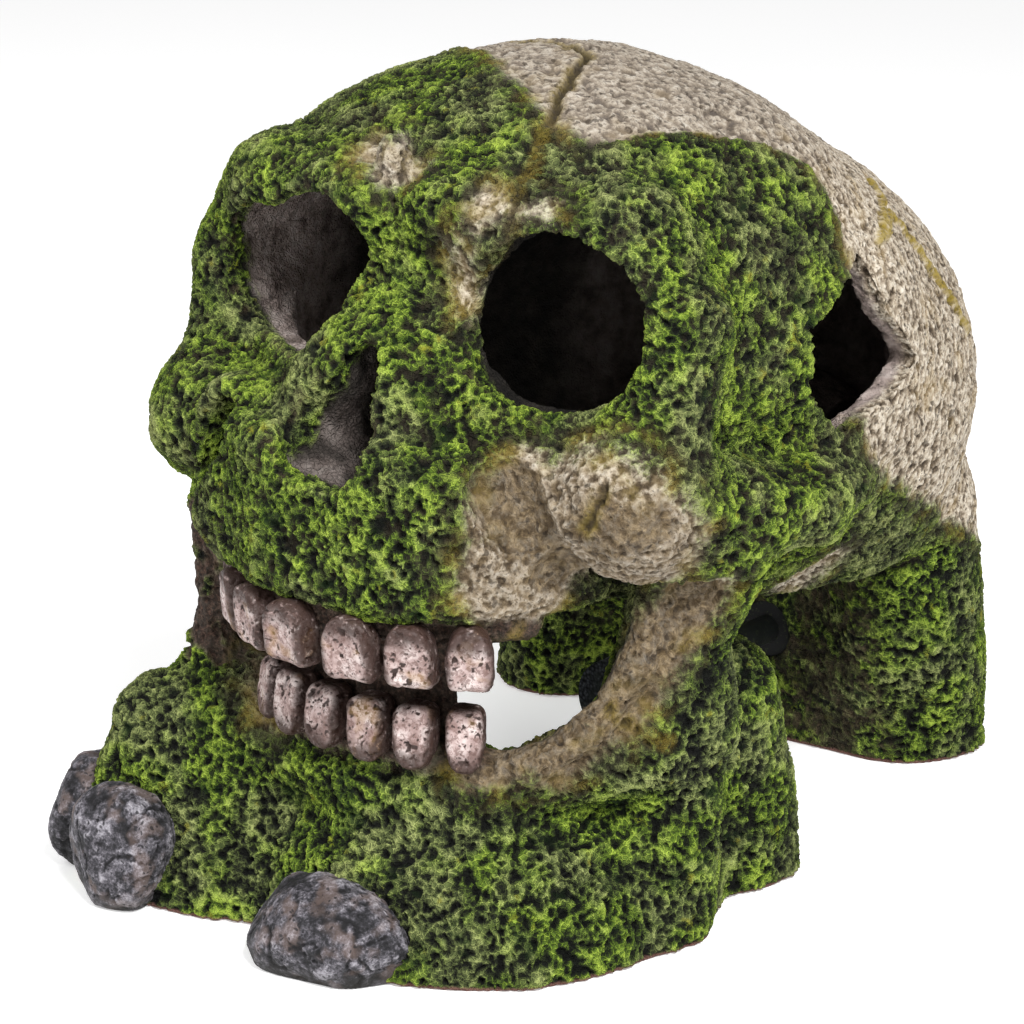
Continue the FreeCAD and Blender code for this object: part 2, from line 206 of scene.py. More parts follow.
def head_outside(p, m):
    d = ellipsoid(p, (0, 14, 105), (54.5, 54, 54))
    d = union(d, ellipsoid(p, (0, 64.5, 84), (54.5, 53, 52.5)), 10)
    d = union(d, ellipsoid(m, (12, 36, 98), (48, 50, 48)), 10)
    # the flat front of the face and its brow
    d = union(d, rounded_box(p, (0, 11, 113), (52, 43, 38), 32, 30), 8)
    brow = chain(m, [(8, -31, 135, 5), (38, -24, 133, 6)])
    rim = chain(m, [(42, -19, 134, 7), (51, -18, 118, 8), (50, -23, 94, 9)])
    d = union(union(d, brow, 10), rim, 8)
    d = carve(d, ellipsoid(p, (3, -47, 119), (26, 15, 13)), 9)
    # cheekbone, its sharp lower edge and the arch back to the temple
    d = union(d, ellipsoid(m, (47, -28, 88), (15, 13, 13)), 7)
    d = union(d, chain(m, [(38, -38, 85, 4.5), (49, -27, 80, 5.5), (57, -11, 76.5, 5.5)]), 3)
    d = union(d, chain(m, [(56, -18, 86, 8), (60, 10, 82, 7), (56, 28, 82, 6)]), 6)
    # upper jaw and the ridge of the nose
    jaw = rounded_box(p, (0, -25, 81.5), (38, 31.5, 15), 29, 4)
    jaw = union(jaw, ellipsoid(p, (0, -25, 96), (28, 25, 24)), 8)
    jaw = union(jaw, capsule(p, (1, -31, 101), (4, -21, 126), 11, 7), 8)
    jaw = union(jaw, capsule(p, (-31, -42, 76), (-32, -39, 92), 8.5), 6)
    d = union(d, jaw, 6)
    # hollow between the upper jaw and the cheekbone, and the dents in the jaw's side
    d = carve(d, capsule(m, (31.5, -44, 92), (36, -43, 84), 6.2, 5), 2)
    d = carve(d, capsule(m, (38.5, -41, 84), (41.5, -37, 78), 2.6, 2.2), 2)
    d = carve(d, ellipsoid(m, (40, -38, 75.5), (4, 5.5, 4.5)), 1.5)
    d = carve(d, capsule(m, (45, -28, 71.5), (58, -10, 68.5), 4.5), 1.5)
    # a knock in the crown, and the lump and dent in the bare patch over the right brow
    d = carve(d, ellipsoid(p, (40, 14, 150), (6, 5, 3.4)), 1.5)
    d = union(d, ellipsoid(p, (-3, -30, 143), (4, 3.5, 4.6)), 1)
    return carve(d, ellipsoid(p, (-9.5, -27.5, 144), (2.6, 2.6, 3.4)), 1.5)


def head_inside(p, m):
    d = ellipsoid(p, (0, 14, 105), (47.5, 47, 47))
    d = union(d, ellipsoid(p, (0, 64.5, 84), (47.5, 46, 45.5)), 10)
    d = union(d, ellipsoid(m, (12, 36, 98), (41, 43, 41)), 10)
    return union(d, rounded_box(p, (0, 14, 113), (45, 37, 31), 26, 24), 6)


def temple_hole(p):
    """The jagged hole through the left temple: a prism along x over its outline."""
    outline = np.array(TEMPLE_OUTLINE, np.float32)
    q = p[..., 1:]
    nearest = np.full(q.shape[:-1], 1e9, np.float32)
    inside = np.zeros(q.shape[:-1], bool)
    for a, b in zip(outline, np.roll(outline, -1, axis=0)):
        edge = b - a
        t = np.clip(((q - a) @ edge) / float(edge @ edge), 0, 1)
        nearest = np.minimum(nearest, np.linalg.norm(q - a - t[..., None] * edge, axis=-1))
        crosses = (a[1] > q[..., 1]) != (b[1] > q[..., 1])
        at = a[0] + (q[..., 1] - a[1]) / (b[1] - a[1] + 1e-9) * edge[0]
        inside ^= crosses & (q[..., 0] < at)
    prism = np.where(inside, -nearest, nearest)
    return np.maximum(prism, 36 - p[..., 0])


def head(p, m):
    d = carve(head_outside(p, m), head_inside(p, m), 2)
    # the round left eye, and the right one: a box along y with an inner upper lobe
    d = carve(d, ellipsoid(p, (33, -30, EYE_Z), (16.2, 46, 16.4)), OPENING_EDGE)
    socket = rounded_box(p[..., [0, 2, 1]], (-28.5, EYE_Z + 0.5, -30), (17.5, 13, 46), 12, 1)
    socket = union(socket, ellipsoid(p, (-17.5, -30, EYE_Z + 9.5), (11.5, 46, 8.5)), 5)
    d = carve(d, socket, OPENING_EDGE)
    # the nose opening: pear-shaped, closed behind at the bottom and open at the top
    nose_low = union(capsule(p, (3, -90, 94.5), (2, -32, 95), 7, 6),
                     capsule(p, (-3, -90, 95), (-3, -32, 96), 5.5, 4), 4)
    nose = union(capsule(p, (2, -90, 107), (1, -10, 108), 4.5), nose_low, 9)
    d = carve(d, nose, OPENING_EDGE)
    # a worn slope on the opening's right side
    d = carve(d, ellipsoid(p, (-6, -51, 98), (6, 8, 9)), 3)
    d = carve(d, temple_hole(p), 1)
    # open underneath, from the mouth to the back
    d = carve(d, rounded_box(p, (0, 34, 20), (35, 52, 40), 20, 18), 4)
    below = np.where(p[..., 1] < -10, BRAIN_FLOOR_Z - 100, BRAIN_FLOOR_Z) - p[..., 2]
    d = np.maximum(d, below)
    # the ridge that the upper teeth stand in
    return union(d, chain(m, UPPER_GUM), 2)


def mouth_wall(p):
    """The web of resin behind the two rows of teeth, round the lower jaw's own centre."""
    ring = np.abs(distance_to_axis(p, *JAW_CENTRE) - 30.5) - 2.2
    back = p[..., 1] + 38.5
    return np.maximum(np.maximum(ring, back), np.abs(p[..., 2] - 51) - 18)


def lower_jaw(p, m):
    d = chain(m, [(0, -44, 30, 6), (22, -38, 30, 6), (42, -16, 40, 8), (49, -3, 80, 12)], 6)
    d = union(union(d, chain(m, JAW_EDGE), 2), chain(m, LOWER_GUM), 2)
    # a root of moss that joins the two jaws at the right corner of the mouth
    d = union(d, chain(p, [(-46, -31, 34, 8), (-43, -36, 48, 4.6), (-40, -38, 60, 4.6),
                           (-40, -35, 72, 8)]), 4)
    return union(d, mouth_wall(p), 2)


def front_mound(p, m):
    d = ellipsoid(p, (7, -21, 0), (41, 39, 35))
    d = union(d, capsule(p, (-38, -36, 2), (-34, -33, 31), 24, 15), 8)
    d = union(d, capsule(p, (-53, -45, 4), (-50, -42, 29), 15, 11), 8)
    d = union(d, capsule(m, (38, -6, 0), (43, -6, 46), 14, 11), 9)
    d = union(d, capsule(p, (29, 24, 0), (34, 16, 36), 19, 14), 8)
    # a groove between two roots of the moss on the left side
    d = carve(d, capsule(p, (56, 4, -6), (52, 2, 30), 8, 3), 8)
    d = carve(d, capsule(p, (-4, 16, -10), (-4, 16, 70), 24, 30), 6)
    return carve(d, capsule(p, (-16, 30, 24), (22, -26, 44), 14, 9), 6)


def rear_mound(p, m):
    d = capsule(p, (0, 101, 0), (0, 96, 60), 18, 20)
    d = union(d, capsule(m, (23, 106, 2), (26, 92, 56), 18, 19), 10)
    d = union(d, capsule(p, (-57, 92, 0), (-51, 87, 54), 15, 14), 10)
    d = carve(d, capsule(p, (0, 50, -10), (0, 50, 36), 37), 6)
    # the boss that the air inlet's collar sits on
    boss = capsule(p, (0, 104, TUBE_Z), (0, COLLAR_Y - 3, TUBE_Z), 11)
    d = union(d, boss, 5)
    return np.maximum(d, p[..., 1] - COLLAR_Y)


# The casting's parts, and the width of the blend from each one to those before it
PARTS = (head, lower_jaw, front_mound, rear_mound)
BLENDS = (0, 4, 6, 6)

# Stations of round bars, as x, y, z and radius, on the left side and mirrored to the right
UPPER_GUM = [(0, -50.6, 64.5, 3.2), (7, -50.2, 64.5, 3.2), (17, -47.3, 64.5, 3.2),
             (25.3, -42.8, 64.7, 3.2), (31.5, -36, 65, 3.2)]
LOWER_GUM = [(0, -44.4, 38.4, 3.4), (14, -42.8, 38.4, 3.4), (21.5, -39.2, 38.4, 3.4)]
JAW_EDGE = [(20, -40, 36, 3.5), (32, -35, 38, 3.5), (40, -27, 45, 3.5), (45, -22, 56, 3.5),
            (47, -17, 72, 3.5)]


def casting(p):
    m = mirrored(p)
    d = head(p, m)
    for part, soft in zip(PARTS[1:], BLENDS[1:]):
        d = union(d, part(p, m), soft)
    # seats for the grommet and the tube
    seat = np.linalg.norm(p[..., [0, 2]] - np.float32([0, TUBE_Z]), axis=-1) - TUBE_SEAT_RADIUS
    ahead = np.maximum(p[..., 1] - (GROMMET_Y + 4), 60 - p[..., 1])
    d = np.maximum(d, -np.maximum(seat, ahead))
    return np.maximum(d, -p[..., 2])


# From a field to a mesh ----------


def sample(field, low, high, voxel):
    """The field on a grid, a few slices at a time."""
    count = np.ceil((np.array(high) - low) / voxel).astype(int) + 1
    axes = [low[k] + voxel * np.arange(count[k]) for k in range(3)]
    values = np.empty(count, np.float32)
    for start in range(0, count[0], 6):
        block = np.meshgrid(axes[0][start:start + 6], axes[1], axes[2], indexing="ij")
        points = np.stack(block, -1).astype(np.float32)
        values[start:start + 6] = field(points.reshape(-1, 3)).reshape(points.shape[:3])
    return values


def surface(values, low, voxel):
    band = 3 * voxel
    grid = openvdb.FloatGrid(band)
    grid.copyFromArray(np.clip(values, -band, band))
    points, quads = grid.convertToQuads(0.0)
    return (points * voxel + low).astype(np.float32), quads[:, ::-1].astype(np.int64)


def read_grid(values, low, voxel, points):
    """The grid's value between its points."""
    q = np.clip((points - low) / voxel, 0, np.array(values.shape) - 1.001)
    i = q.astype(int)
    f = (q - i).astype(np.float32)
    total = 0
    for corner in CELL_CORNERS:
        dx, dy, dz = corner
        total = total + weigh(1, f, corner) * values[i[:, 0] + dx, i[:, 1] + dy, i[:, 2] + dz]
    return total


def slope(values, low, voxel, points):
    """The direction in which the grid grows fastest, which is the surface's outward normal."""
    reach = 0.8 * voxel
    ahead = [read_grid(values, low, voxel, points + reach * axis) for axis in np.eye(3)]
    behind = [read_grid(values, low, voxel, points - reach * axis) for axis in np.eye(3)]
    g = np.stack(ahead, -1) - np.stack(behind, -1)
    return g / (np.linalg.norm(g, axis=-1, keepdims=True) + 1e-9)


def to_surface(values, low, voxel, points):
    """The points moved along their normals to where the field is zero."""
    normals = slope(values, low, voxel, points)
    return points - normals * read_grid(values, low, voxel, points)[:, None]


def divide(points, quads, chosen):
    """The chosen quads as four each. A neighbour that stays whole takes up the new points on its
    edges. Gives the points, the faces' corners in one row, and where each face starts in it."""
    ends = np.stack([quads, np.roll(quads, -1, axis=1)], -1).reshape(-1, 2)
    ends.sort(axis=1)
    unique, where = np.unique(ends[:, 0] * len(points) + ends[:, 1], return_inverse=True)
    where = where.reshape(-1, 4)
    split = np.zeros(len(unique), bool)
    split[where[chosen].ravel()] = True
    number = np.cumsum(split) - 1 + len(points)
    pairs = np.stack([unique // len(points), unique % len(points)], -1)[split]
    middles = points[pairs].mean(1)
    centres = points[quads[chosen]].mean(1)
    edge = number[where[chosen]]
    centre = len(points) + len(middles) + np.arange(len(centres))
    small = np.concatenate([np.stack([quads[chosen][:, k], edge[:, k], centre, edge[:, k - 1]], -1)
                            for k in range(4)])
    whole = np.full((len(quads) - int(chosen.sum()), 8), -1)
    whole[:, 0::2] = quads[~chosen]
    whole[:, 1::2] = np.where(split[where[~chosen]], number[where[~chosen]], -1)
    sizes = np.concatenate([np.full(len(small), 4), (whole >= 0).sum(1)])
    loops = np.concatenate([small.ravel(), whole[whole >= 0]])
    starts = np.concatenate([[0], np.cumsum(sizes)[:-1]])
    return np.concatenate([points, middles, centres]).astype(np.float32), loops, starts


def point_normals(points, loops, starts):
    """Normals by point, from the two edges at each corner of each face."""
    sizes = np.diff(np.append(starts, len(loops)))
    ends = np.repeat(starts + sizes - 1, sizes)
    firsts = np.repeat(starts, sizes)
    place = np.arange(len(loops))
    after = loops[np.where(place == ends, firsts, place + 1)]
    before = loops[np.where(place == firsts, ends, place - 1)]
    corner = np.cross(points[after] - points[loops], points[before] - points[loops])
    total = np.stack([np.bincount(loops, corner[:, k], len(points)) for k in range(3)], -1)
    return total / (np.linalg.norm(total, axis=1, keepdims=True) + 1e-9)


def to_object(name, points, loops, starts, normals, attributes):
    """A mesh object from skull-frame millimetres, with a float attribute for each named mask."""
    mesh = bpy.data.meshes.new(name)
    mesh.vertices.add(len(points))
    mesh.vertices.foreach_set("co", ((points + ORIGIN) * MM).astype(np.float32).ravel())
    mesh.loops.add(len(loops))
    mesh.loops.foreach_set("vertex_index", loops.astype(np.int32))
    mesh.polygons.add(len(starts))
    mesh.polygons.foreach_set("loop_start", starts.astype(np.int32))
    mesh.update()
    mesh.validate()
    mesh.polygons.foreach_set("use_smooth", np.ones(len(mesh.polygons), bool))
    for key, values in attributes.items():
        layer = mesh.attributes.new(key, "FLOAT", "POINT")
        layer.data.foreach_set("value", values.astype(np.float32))
    mesh.normals_split_custom_set_from_vertices(normals.astype(np.float32))
    obj = bpy.data.objects.new(name, mesh)
    bpy.context.scene.collection.objects.link(obj)
    return obj


# Where the casting is bare, stained or cracked ----------

# Each crack: its path, its half width, and how far it sinks or, below zero, stands out as a seam
CRACKS = {
    "coronal": ([(-24, 20, 156), (-8, 14, 159), (4, 13, 159), (10, 10, 159), (14, -1, 157),
                 (17, -9, 154), (20, -17, 150), (23, -23, 146), (24, -29, 141),
                 (25, -31, 136)], 0.55, 1.2),
    "side": ([(40, 62, 130), (44, 58, 127), (50, 49, 125), (52, 44, 123), (50, 52, 124),
              (47, 58, 126), (47, 65, 119), (50, 71, 113), (50, 76, 107), (50, 84, 98)], 0.7, -0.9),
    "brow": ([(-13, -25, 147), (-7, -28, 144), (-6, -29, 140)], 0.5, 1.0),
    "cheek": ([(50, -38, 94), (49, -40, 90), (47, -40, 86)], 0.45, 0.9),
    "jaw": ([(45, -30, 50), (49, -27, 46), (52, -20, 42)], 0.5, 0.9)}


def path_distance(p, normals, stations):
    """Distance along the surface, so that a path may lie a little above or below it."""
    wobble = warped(p, 3.0, 0.8, 41)
    d = np.full(len(p), 1e9, np.float32)
    for a, b in zip(stations, stations[1:]):
        a, along = np.array(a, np.float32), np.array(b, np.float32) - a
        share = np.clip(((wobble - a) @ along) / float(along @ along), 0, 1)
        away = wobble - a - share[:, None] * along
        outward = (away * normals).sum(-1)
        aside = np.linalg.norm(away - normals * outward[:, None], axis=-1)
        d = np.minimum(d, np.where(np.abs(outward) < 8, aside, 1e9))
    return d


def bare_depth(p):
    """How far inside a patch of bare bone a point is, in millimetres; negative under moss."""
    x, y, z = p.T
    front = np.where(x > 19, -15 + 44 * step(x, 28, 50), -15 + 0.62 * (19 - x))
    crown = np.minimum(y - front, (z - (99.6 - 0.5 * y)) * 0.9)
    patches = [
        crown,
        -ellipsoid(p, (47, -33, 85), (17, 16, 15)),
        -ellipsoid(p, (35, -44, 75), (9, 15, 13)),
        -ellipsoid(p, (34, -40, 88), (9.5, 12, 10)),
        -chain(p, [(24, -41, 38, 5), (34, -33, 40, 6), (42, -25, 48, 6.5), (48, -21, 60, 6.5),
                   (54, -15, 70, 6)]),
        -chain(p, [(-24, -41, 38, 5), (-42, -25, 48, 6), (-50, -18, 66, 6)]),
        -capsule(p, (-10, -27, 145), (-2, -31, 143), 4.8),
        -chain(p, [(15, -32, 119, 2.4), (15, -31, 130, 4), (20, -31, 137, 3.6), (31, -29, 137, 2.6)]),
        -capsule(p, (40, 37, 53), (49, 40, 58), 5)]
    return np.max(patches, axis=0)


def facing_axis(p, normals, x, y):
    """Share by which the surface looks at the upright line through x, y."""
    to_axis = np.array([x, y]) - p[:, :2]
    to_axis /= np.linalg.norm(to_axis, axis=1, keepdims=True) + 1e-9
    return step((normals[:, :2] * to_axis).sum(-1), 0.15, 0.6)


def masks(p, normals):
    """Everything the paint needs by vertex, as shares, and how far the cracks sink in."""
    m = mirrored(p)
    x, y, z = p.T
    wander = 1.6 * perlin(p, 7, 11) + 0.9 * perlin(p, 2.4, 12)
    depth = -head_outside(p, m)
    in_head = step(z, BRAIN_FLOOR_Z - 2, BRAIN_FLOOR_Z + 4)
    nose = step(-np.hypot(x, z - 97), -22, -16) * step(-y, 12, 20)
    inside = step(depth + 0.5 * wander - 1.5 * nose, 2.2, 4.4) * in_head
    # faces that look down under the head, darkened with the earth tone as painted shade
    under = step(-z, -53, -47) * step(y, -6, 4) * step(-normals[:, 2], 0.2, 0.7)
    bare = step(bare_depth(p) + wander, -1.8, 2.2)
    # the gums, the wall behind the teeth and the mouth's right corner: dark red-brown gum colour, with
    # painted shade on the wall behind and between the teeth
    teeth = np.minimum(chain(m, [(0, -53, 62.5, 4), (18, -49.5, 62.5, 4), (27, -44.5, 62.5, 4),
                                 (33, -37.5, 63, 4)]),
                       chain(m, [(0, -47, 41, 4), (14, -45, 41, 4), (22, -41, 41, 4)]))
    corner = capsule(p, (-42, -36, 46), (-42, -37, 68), 7)
    teeth = np.minimum.reduce([teeth, mouth_wall(p) - 1.5, corner + 6 * perlin(p, 4, 24)])
    gum_and_mouth_shade = step(-teeth + 0.4 * wander, -1.2, 1.0)
    crack = np.zeros(len(p), np.float32)
    sunk = np.zeros(len(p), np.float32)
    border = np.exp(-(((bare_depth(p) + wander) / 2.6) ** 2))
    stain = 0.55 * border * step(perlin(p, 5, 21), -0.1, 0.5)
    for stations, half, sink in CRACKS.values():
        away = path_distance(p, normals, stations)
        share = step(-away, -half - 0.6, -half + 0.2)
        sinks = np.maximum(np.abs(sunk), share * abs(sink)) * np.sign(sink)
        sunk = np.where(share > 0, sinks, sunk)
        if sink > 0:
            crack = np.maximum(crack, share)
            seam = 0.6 * step(-away, -2.6, -0.3) * step(perlin(p, 4, 22), -0.7, 0.1)
        else:
            seam = step(-away, -1.8, -0.6)
        stain = np.maximum(stain, seam)
    # moss grows over most of a crack
    crack *= 0.2 + 0.8 * bare
    sunk *= 0.25 + 0.75 * bare
    # earth-brown on the walls that the hollows under the head have, and on the faces that look down
    # under it: earth colour and painted shade
    shaded_earth = np.maximum(
        facing_axis(p, normals, -4, 16) * step(-distance_to_axis(p, -4, 16), -38, -33),
        facing_axis(p, normals, 0, 50) * step(-distance_to_axis(p, 0, 50), -56, -48) * 0.8)
    earth_and_shade = np.maximum(shaded_earth * step(-z, -58, -50), under)
    # brown, darker bone low down: the lower jaw, the gums' edge and the end of the upper jaw
    jaw_bone = -chain(m, [(24, -41, 38, 7), (34, -33, 40, 7), (42, -25, 48, 8), (48, -21, 60, 8),
                          (52, -15, 68, 7)])
    # brown in the carved hollows by the nose, under the cheekbone and in the jaw's dent: bone colour,
    # darkened there as painted shade
    hollow_tan_shade = np.maximum.reduce([-ellipsoid(p, (-7, -50, 97), (8, 9, 9)),
                              -capsule(m, (31.5, -43, 91), (36.5, -42, 82), 7, 5.5),
                              -ellipsoid(m, (40, -38, 75.5), (5.5, 7.5, 6))])
    dirty = -ellipsoid(m, (52, -37, 88), (10, 9, 6.5)) + 1.5 * wander
    tan = np.maximum.reduce([step(jaw_bone + wander, -1, 1), step(hollow_tan_shade + 0.5 * wander, -1, 1.5),
                             step(dirty, -2, 2),
                             0.55 * step(-z, -84, -66) * step(-y, 20, 30),
                             0.6 * step(-z, -104, -90) * step(-y, 14, 24)])
    # painted shade on the lower jaw's inner face, which looks in towards the mouth
    rim = step(jaw_bone, 0, 2) * facing_axis(p, normals, *JAW_CENTRE)
    # a thin dark film where the moss ends
    film = np.exp(-(((bare_depth(p) + wander + 2) / 2.2) ** 2))
    # a few glints of dry paint along the moss-free edges of the openings
    lip = np.exp(-(((depth - 0.8) / 0.8) ** 2)) * in_head
    # painted shade, dark far inside: on the left by depth in the wall, elsewhere by distance from the
    # face, and in the nose opening
    temple = step(y, -12, -2)
    far_shade = step(y, -8, 20) * (1 - 0.3 * step(y, 72, 88))
    inner_shade = np.where(x > 14, step(depth, 6 * temple, 3 + 8 * temple), far_shade)
    inner_shade = np.maximum(inner_shade, nose * (0.62 + 0.3 * step(perlin(p, 5, 25), -0.1, 0.3))) * in_head
    shares = dict(bare=np.maximum(bare, gum_and_mouth_shade), inside=inside, gum_and_mouth_shade=gum_and_mouth_shade, crack=crack, stain=stain,
                  earth_and_shade=earth_and_shade, tan=tan, rim=rim, film=film, lip=lip, inner_shade=inner_shade)
    return {name: np.clip(share, 0, 1) for name, share in shares.items()}, sunk


def cells(p, size, seed):
    """Worley noise: distances to the nearest and the next nearest point, in cell sizes."""
    q = p / size + LATTICE_SHIFT
    base = np.floor(q).astype(np.int64)
    nearest = np.full(len(p), 9.0, np.float32)
    second = nearest.copy()
    for dx in (-1, 0, 1):
        for dy in (-1, 0, 1):
            for dz in (-1, 0, 1):
                cell = base + (dx, dy, dz)
                h = lattice_hash(cell[:, 0], cell[:, 1], cell[:, 2], seed)
                spot = np.stack(hash_parts(h), -1) / HASH_TOP
                d = np.linalg.norm(cell + spot - q, axis=-1).astype(np.float32)
                second = np.minimum(second, np.maximum(nearest, d))
                nearest = np.minimum(nearest, d)
    return nearest, second


def relief(p, mask, sunk):
    """Height of the surface detail in millimetres, and the same as a 0 to 1 share for the paint."""
    wriggle = warped(p, 2.6, 1.0, 1)
    nearest, second = cells(wriggle, 1.75, 4)
    web = 1 - np.clip((second - nearest) / 0.5, 0, 1)
    holes = step(perlin(warped(p, 2.4, 0.8, 8), 1.9, 9), 0.1, 0.5)
    tuft = perlin(p, 4.6, 6)
    lump = perlin(p, 12, 7)
    moss_share = np.clip(0.28 + 0.5 * web + 0.24 * tuft - 0.4 * holes + 0.12 * lump, 0, 1)
    moss = -0.95 + 1.9 * moss_share + 0.7 * lump
    pits = step(perlin(warped(p, 2.2, 0.8, 51), 1.6, 54), 0.14, 0.42)
    grain = perlin(p, 1.1, 55)
    bone_share = np.clip(0.42 + 0.42 * web + 0.2 * grain - 0.5 * pits - 0.15 * holes, 0, 1)
    bone = (-0.75 + 0.45 * perlin(p, 8, 57) + 0.3 * perlin(p, 3, 59) + 0.14 * grain + 0.3 * web
            - 0.5 * pits)
    plain = np.clip(np.maximum.reduce([mask["bare"], mask["inside"], 0.75 * mask["earth_and_shade"]]), 0, 1)
    height = moss + (bone - moss) * plain
    share = moss_share + (bone_share - moss_share) * plain
    # streaks along the lower jaw
    height += 0.25 * mask["tan"] * perlin(p * np.float32([1, 1, 0.35]), 1.6, 58) * mask["bare"]
    height -= sunk
    share *= 1 - 0.8 * mask["crack"]
    return height, share


# Teeth and stones ----------

TOOTH_TURN = {"upper_incisor": 8, "upper_lateral": 22, "upper_canine": 36, "upper_premolar": 62,
              "lower_incisor": 4, "lower_lateral": 15, "lower_canine": 34}
TOOTH_EDGE = 2.2


def hand_over(obj, name, material):
    """The finished piece, riding with the ornament in place of the CAD node of its name."""
    obj.data.materials.append(material)
    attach(obj, BODY)
    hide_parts(name)


def small_form(name, field, low, high, voxel, detail, material):
    """A tooth or a stone: meshed, given its relief and put in place of its CAD node."""
    values = sample(field, low, high, voxel)
    points, quads = surface(values, low, voxel)
    normals = slope(values, low, voxel, points)
    points = to_surface(values, low, voxel, points)
    height, attributes = detail(points)
    points = points + normals * height[:, None]
    points[:, 2] = np.maximum(points[:, 2], 0)
    loops, starts = quads.ravel(), np.arange(0, quads.size, 4)
    obj = to_object(name, points, loops, starts, point_normals(points, loops, starts), attributes)
    hand_over(obj, name, material)


def build_tooth(node, turn, seed, material):
    low, high = corners(node)
    centre = (low + high) / 2 - ORIGIN
    span = high - low - 2 * TOOTH_EDGE
    c, s = abs(math.cos(turn)), abs(math.sin(turn))
    width = (span[0] * c - span[1] * s) / (c * c - s * s) + 2 * TOOTH_EDGE
    depth = (span[1] * c - span[0] * s) / (c * c - s * s) + 2 * TOOTH_EDGE
    height = high[2] - low[2]
    to_root = 1 if "upper" in node else -1
    turned = np.array([[math.cos(turn), -math.sin(turn), 0], [math.sin(turn), math.cos(turn), 0],
                       [0, 0, 1]], np.float32)
    lean = 0.5 * math.sin(7.3 * seed)

    def field(p):
        q = (p - centre.astype(np.float32)) @ turned
        x, y, z = q.T
        share = np.clip(z * to_root / height, -0.5, 0.5)
        # narrower at the root, and each tooth leaning a little its own way
        x = (x - lean * share) / (1 - 0.55 * np.maximum(share, 0) ** 1.5)
        y = y + 1.5 * share + 0.045 * x ** 2
        body = rounded_box(np.stack([x, z, y], -1), (0, 0, 0),
                           (0.485 * width, 0.49 * height, 0.47 * depth), 2.6, 2.1)
        dome = np.hypot(x / (0.5 * width), np.maximum(share + 0.04, 0) / 0.53) - 1
        return carve(body, -0.42 * width * dome, 1.5) * 0.85

    def detail(p):
        q = (p - centre) @ turned
        pits = step(perlin(warped(p, 2.0, 0.6, 60 + seed), 0.85, 70 + seed), 0.22, 0.5)
        holes = step(perlin(warped(p, 2.0, 0.8, 65 + seed), 1.6, 75 + seed), 0.46, 0.62)
        dents = perlin(p, 3.2, 80 + seed)
        lines = perlin(p * np.float32([1, 1, 0.4]), 1.3, 95 + seed)
        height_mm = 0.22 * dents + 0.1 * lines - 0.2 * pits - 0.5 * holes
        side = np.abs(q[:, 0]) / (width / 2)
        root = q[:, 2] * to_root / (height / 2)
        # dark at the sides, the root, the tip and the back: wash colour, and painted shade between and
        # behind the teeth
        grime_and_shade = np.clip(step(side + 0.15 * dents, 0.52, 0.9) + step(root + 0.25 * dents, -0.05, 0.65)
                        + step(q[:, 1], -1.2, 0.8) + 0.7 * step(-root, 0.86, 1.0), 0, 1)
        share = np.clip(0.62 + 0.3 * dents + 0.2 * lines - 0.5 * pits - 0.7 * holes, 0, 1)
        return height_mm, dict(relief=share, grime_and_shade=grime_and_shade)

    margin = 2.5
    small_form(node, field, low - ORIGIN - margin, high - ORIGIN + margin, 0.4, detail,
               material)


# Each stone's centre, radii and seed
STONES = {
    "outer_stone": ((-64.5, -49, 10), (8.6, 10.5, 12), 3),
    "inner_stone": ((-46.5, -60, 10.5), (12, 9.5, 13), 8),
    "front_stone": ((4, -59.5, 5.5), (18, 11.5, 11.5), 5)}
FACETS = 5
FACET_AT = 0.8      # share of the stone's radius


def build_stone(node, material):
    centre, radii, seed = STONES[node]
    centre, radii = np.array(centre, np.float32), np.array(radii, np.float32)

    def field(p):
        d = ellipsoid(p, centre, radii)
        q = (p - centre) / radii
        # flat facets knocked into the pebble
        for k in range(FACETS):
            angle = 2.4 * k + seed
            tilt = 0.5 * math.sin(1.7 * k + seed)
            face = np.array([math.cos(angle) * math.cos(tilt), math.sin(angle) * math.cos(tilt),
                             math.sin(tilt)], np.float32)
            d = carve(d, -((q @ face) - FACET_AT) * radii.min(), 1.6)
        return np.maximum(d, -p[..., 2])

    def detail(p):
        dents = perlin(p, 5, 100 + seed)
        grit = perlin(warped(p, 1.6, 0.5, 110 + seed), 1.2, 120 + seed)
        crease = step(-np.abs(perlin(p, 6.5, 130 + seed)), -0.06, 0.0)
        height_mm = 0.5 * dents + 0.22 * grit - 0.5 * crease
        height_mm *= step(p[:, 2], 0.0, 1.0)
        return height_mm, dict(relief=np.clip(0.5 + 0.35 * dents + 0.4 * grit - 0.5 * crease, 0, 1))

    margin = 2.0
    low = centre - radii - margin
    low[2] = -2.0
    small_form(node, field, low, centre + radii + margin, 0.6, detail, material)


# Materials ----------


def colour(r, g, b):
    """Linear colour of an sRGB one given in 0 to 255."""
    def linear(c):
        c /= 255
        return c / 12.92 if c <= 0.04045 else ((c + 0.055) / 1.055) ** 2.4
    return (linear(r), linear(g), linear(b), 1.0)


